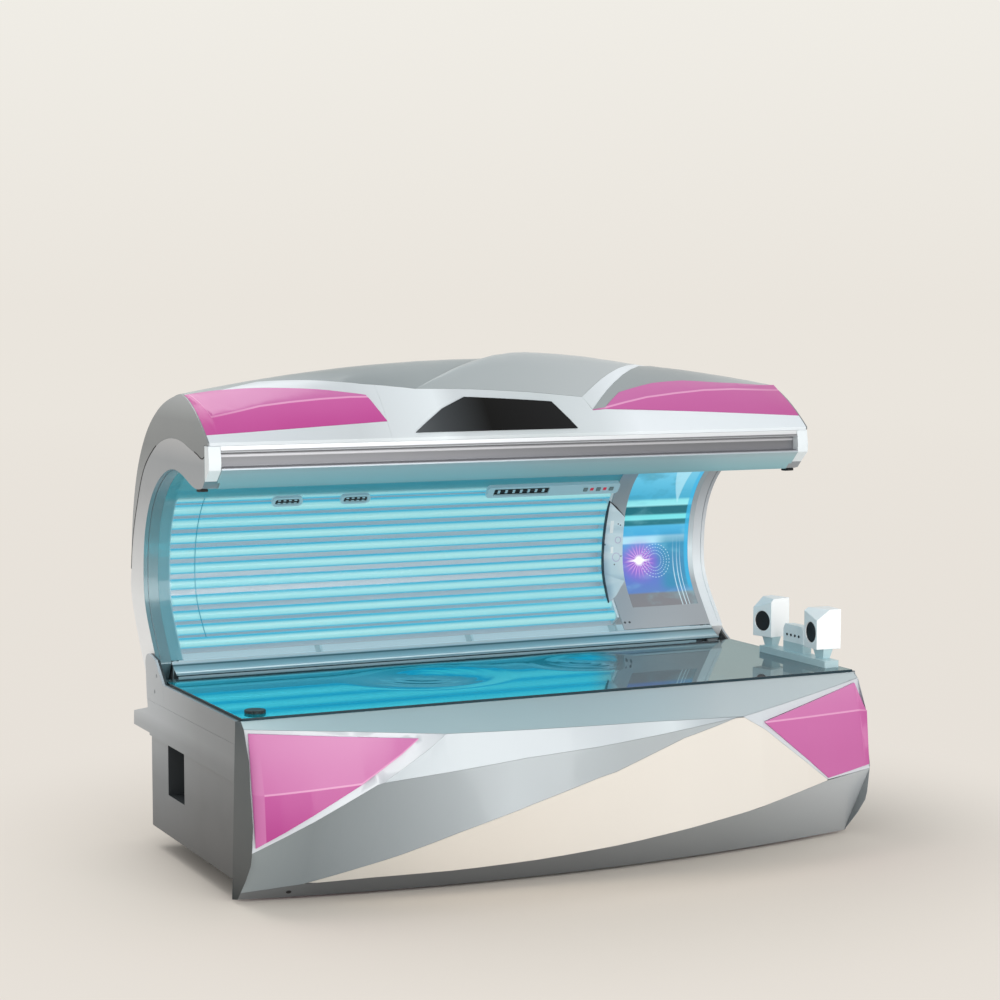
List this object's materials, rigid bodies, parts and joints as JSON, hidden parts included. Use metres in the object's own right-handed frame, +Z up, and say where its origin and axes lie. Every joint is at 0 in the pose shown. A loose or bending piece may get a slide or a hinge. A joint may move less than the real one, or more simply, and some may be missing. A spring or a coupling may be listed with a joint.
{
  "type": "clamshell tanning bed",
  "caption": "Clamshell tanning bed with a raised canopy, lit pink corner lenses, lamp tunnel, acrylic bench, swivelling speakers and air nozzles.",
  "frame": {"origin": "middle of the outer box at floor level", "axes": "+X from the foot end to the head end, -Y to the open front, +Z up"},
  "size_m": [2.3197, 1.4252, 1.714],
  "materials": {
    "frame_steel": "powder coated",
    "rubber": "matt",
    "side_grey": "satin",
    "corner_grey": "satin",
    "pearl_white": "gloss",
    "fascia_grey": "satin metallic lacquer",
    "lens_frame_grey": "satin",
    "pink_lens": "gloss",
    "cheek_grey": "satin",
    "acrylic": "clear",
    "lamp_glass": "frosted",
    "holder_white": "moulded",
    "reflector": "polished",
    "case_black": "moulded",
    "case_grey": "satin",
    "bright_steel": "polished",
    "spring_black": "gloss",
    "dark_glass": "polished",
    "lip_metal": "satin anodised",
    "cap_grey": "moulded",
    "face_white": "satin",
    "face_glass": "clear",
    "fitting_grey": "moulded"
  },
  "bodies": {
    "base": {"base_frame": "frame_steel", "levelling_feet": "rubber", "side_panels": "side_grey", "front_corner_trims": "corner_grey", "rear_panels": "side_grey", "front_apron": "pearl_white", "front_white_facet": "pearl_white", "front_grey_facet": "fascia_grey", "front_pale_facet": "pearl_white", "front_lower_panel": "corner_grey", "front_lens_frames": "lens_frame_grey", "front_lenses": "pink_lens", "bench_reflector": "reflector", "bench_lamps": "lamp_glass", "bench_lampholders": "holder_white", "ballasts": "case_black", "electrical_box": "case_grey", "fan_housing": "case_black", "hinge_posts": "frame_steel", "tower_covers": "side_grey", "cable_gland": "rubber"},
    "bench_sheet": {"bench_acrylic": "acrylic", "speaker_tray": "case_grey"},
    "speaker_rear_body": {"speaker_rear": "case_grey"},
    "speaker_front_body": {"speaker_front": "case_grey"},
    "knob": {"lock_knob": "case_black"},
    "fan": {"fan_rotor": "case_black"},
    "canopy": {"canopy_frame": "frame_steel", "pivot_pins": "bright_steel", "canopy_end_rings": "cheek_grey", "canopy_cheeks": "cheek_grey", "canopy_top_shells": "fascia_grey", "canopy_rear_shell": "side_grey", "canopy_hood": "cheek_grey", "canopy_brow": "pearl_white", "canopy_lenses": "pink_lens", "display_glass": "dark_glass", "lip_extrusion": "lip_metal", "lip_end_caps": "cap_grey", "lip_bumpers": "rubber", "canopy_reflector": "reflector", "canopy_lamps": "lamp_glass", "canopy_lampholders": "holder_white", "canopy_acrylic": "acrylic", "lower_rails": "lip_metal", "face_frame": "face_white", "face_glass": "face_glass", "control_panel": "face_white", "nozzle_bezels": "face_white", "vent_bar": "face_white"},
    "nozzle_left_body": {"nozzle_left": "fitting_grey"},
    "nozzle_right_body": {"nozzle_right": "fitting_grey"},
    "louvre": {"vent_louvre": "fitting_grey"},
    "start_key": {"key_start": "fitting_grey"},
    "cooling_key": {"key_cooling": "fitting_grey"},
    "stop_key": {"key_stop": "fitting_grey"},
    "left_cylinder": {"left_spring_cylinder": "spring_black"},
    "left_rod": {"left_spring_rod": "bright_steel"},
    "right_cylinder": {"right_spring_cylinder": "spring_black"},
    "right_rod": {"right_spring_rod": "bright_steel"}
  },
  "joints": [
    {"name": "canopy_hinge", "type": "hinge", "parent": "base", "child": "canopy", "pos_m": [0, 0.45, 0.638], "axis": [1, 0, 0], "range_deg": [0, 38]},
    {"name": "sheet_lift", "type": "hinge", "parent": "base", "child": "bench_sheet", "pos_m": [0, 0.345, 0.588], "axis": [1, 0, 0], "range_deg": [-40, 0]},
    {"name": "speaker_rear_swivel", "type": "hinge", "parent": "bench_sheet", "child": "speaker_rear_body", "pos_m": [1.106, 0.013, 0.656], "axis": [0, 0, 1], "range_deg": [-15, 15]},
    {"name": "speaker_front_swivel", "type": "hinge", "parent": "bench_sheet", "child": "speaker_front_body", "pos_m": [1.106, -0.331, 0.656], "axis": [0, 0, 1], "range_deg": [-15, 15]},
    {"name": "knob_turn", "type": "hinge", "parent": "bench_sheet", "child": "knob", "pos_m": [-1.063, -0.396, 0.596], "axis": [0, 0, 1], "range_deg": [0, 90]},
    {"name": "fan_spin", "type": "hinge", "parent": "base", "child": "fan", "pos_m": [0.6, 0.386, 0.245], "axis": [0, 1, 0], "continuous": true},
    {"name": "nozzle_left_tilt", "type": "hinge", "parent": "canopy", "child": "nozzle_left_body", "pos_m": [-0.6295, 0.47341, 1.18332], "axis": [1, 0, 0], "range_deg": [-15, 15]},
    {"name": "nozzle_right_tilt", "type": "hinge", "parent": "canopy", "child": "nozzle_right_body", "pos_m": [-0.369, 0.47341, 1.18332], "axis": [1, 0, 0], "range_deg": [-15, 15]},
    {"name": "louvre_tilt", "type": "hinge", "parent": "canopy", "child": "louvre", "pos_m": [0.292, 0.46576, 1.18963], "axis": [1, 0, 0], "range_deg": [-15, 15]},
    {"name": "start_press", "type": "slide", "parent": "canopy", "child": "start_key", "axis": [0, 0.7697, 0.6384], "range_m": [0, 0.002], "stiffness_N_per_m": 400},
    {"name": "cooling_press", "type": "slide", "parent": "canopy", "child": "cooling_key", "axis": [0, 0.7697, 0.6384], "range_m": [0, 0.002], "stiffness_N_per_m": 400},
    {"name": "stop_press", "type": "slide", "parent": "canopy", "child": "stop_key", "axis": [0, 0.7697, 0.6384], "range_m": [0, 0.002], "stiffness_N_per_m": 400},
    {"name": "left_spring_swing", "type": "hinge", "parent": "base", "child": "left_cylinder", "pos_m": [-1.0885, 0.296, 0.342], "axis": [1, 0, 0], "range_deg": [-0.5, 1.54]},
    {"name": "left_spring_stroke", "type": "slide", "parent": "left_cylinder", "child": "left_rod", "axis": [0, 0.7802, 0.6256], "range_m": [-0.0005, 0.0909]},
    {"name": "right_spring_swing", "type": "hinge", "parent": "base", "child": "right_cylinder", "pos_m": [1.0885, 0.296, 0.342], "axis": [1, 0, 0], "range_deg": [-0.5, 1.54]},
    {"name": "right_spring_stroke", "type": "slide", "parent": "right_cylinder", "child": "right_rod", "axis": [0, 0.7802, 0.6256], "range_m": [-0.0005, 0.0909]}
  ],
  "couplings": [
    {"joint": "left_spring_swing", "follows": "canopy_hinge", "ratio": 0.03275},
    {"joint": "left_spring_stroke", "follows": "canopy_hinge", "m_per_rad": 0.13579},
    {"joint": "right_spring_swing", "follows": "canopy_hinge", "ratio": 0.03275},
    {"joint": "right_spring_stroke", "follows": "canopy_hinge", "m_per_rad": 0.13579}
  ]
}
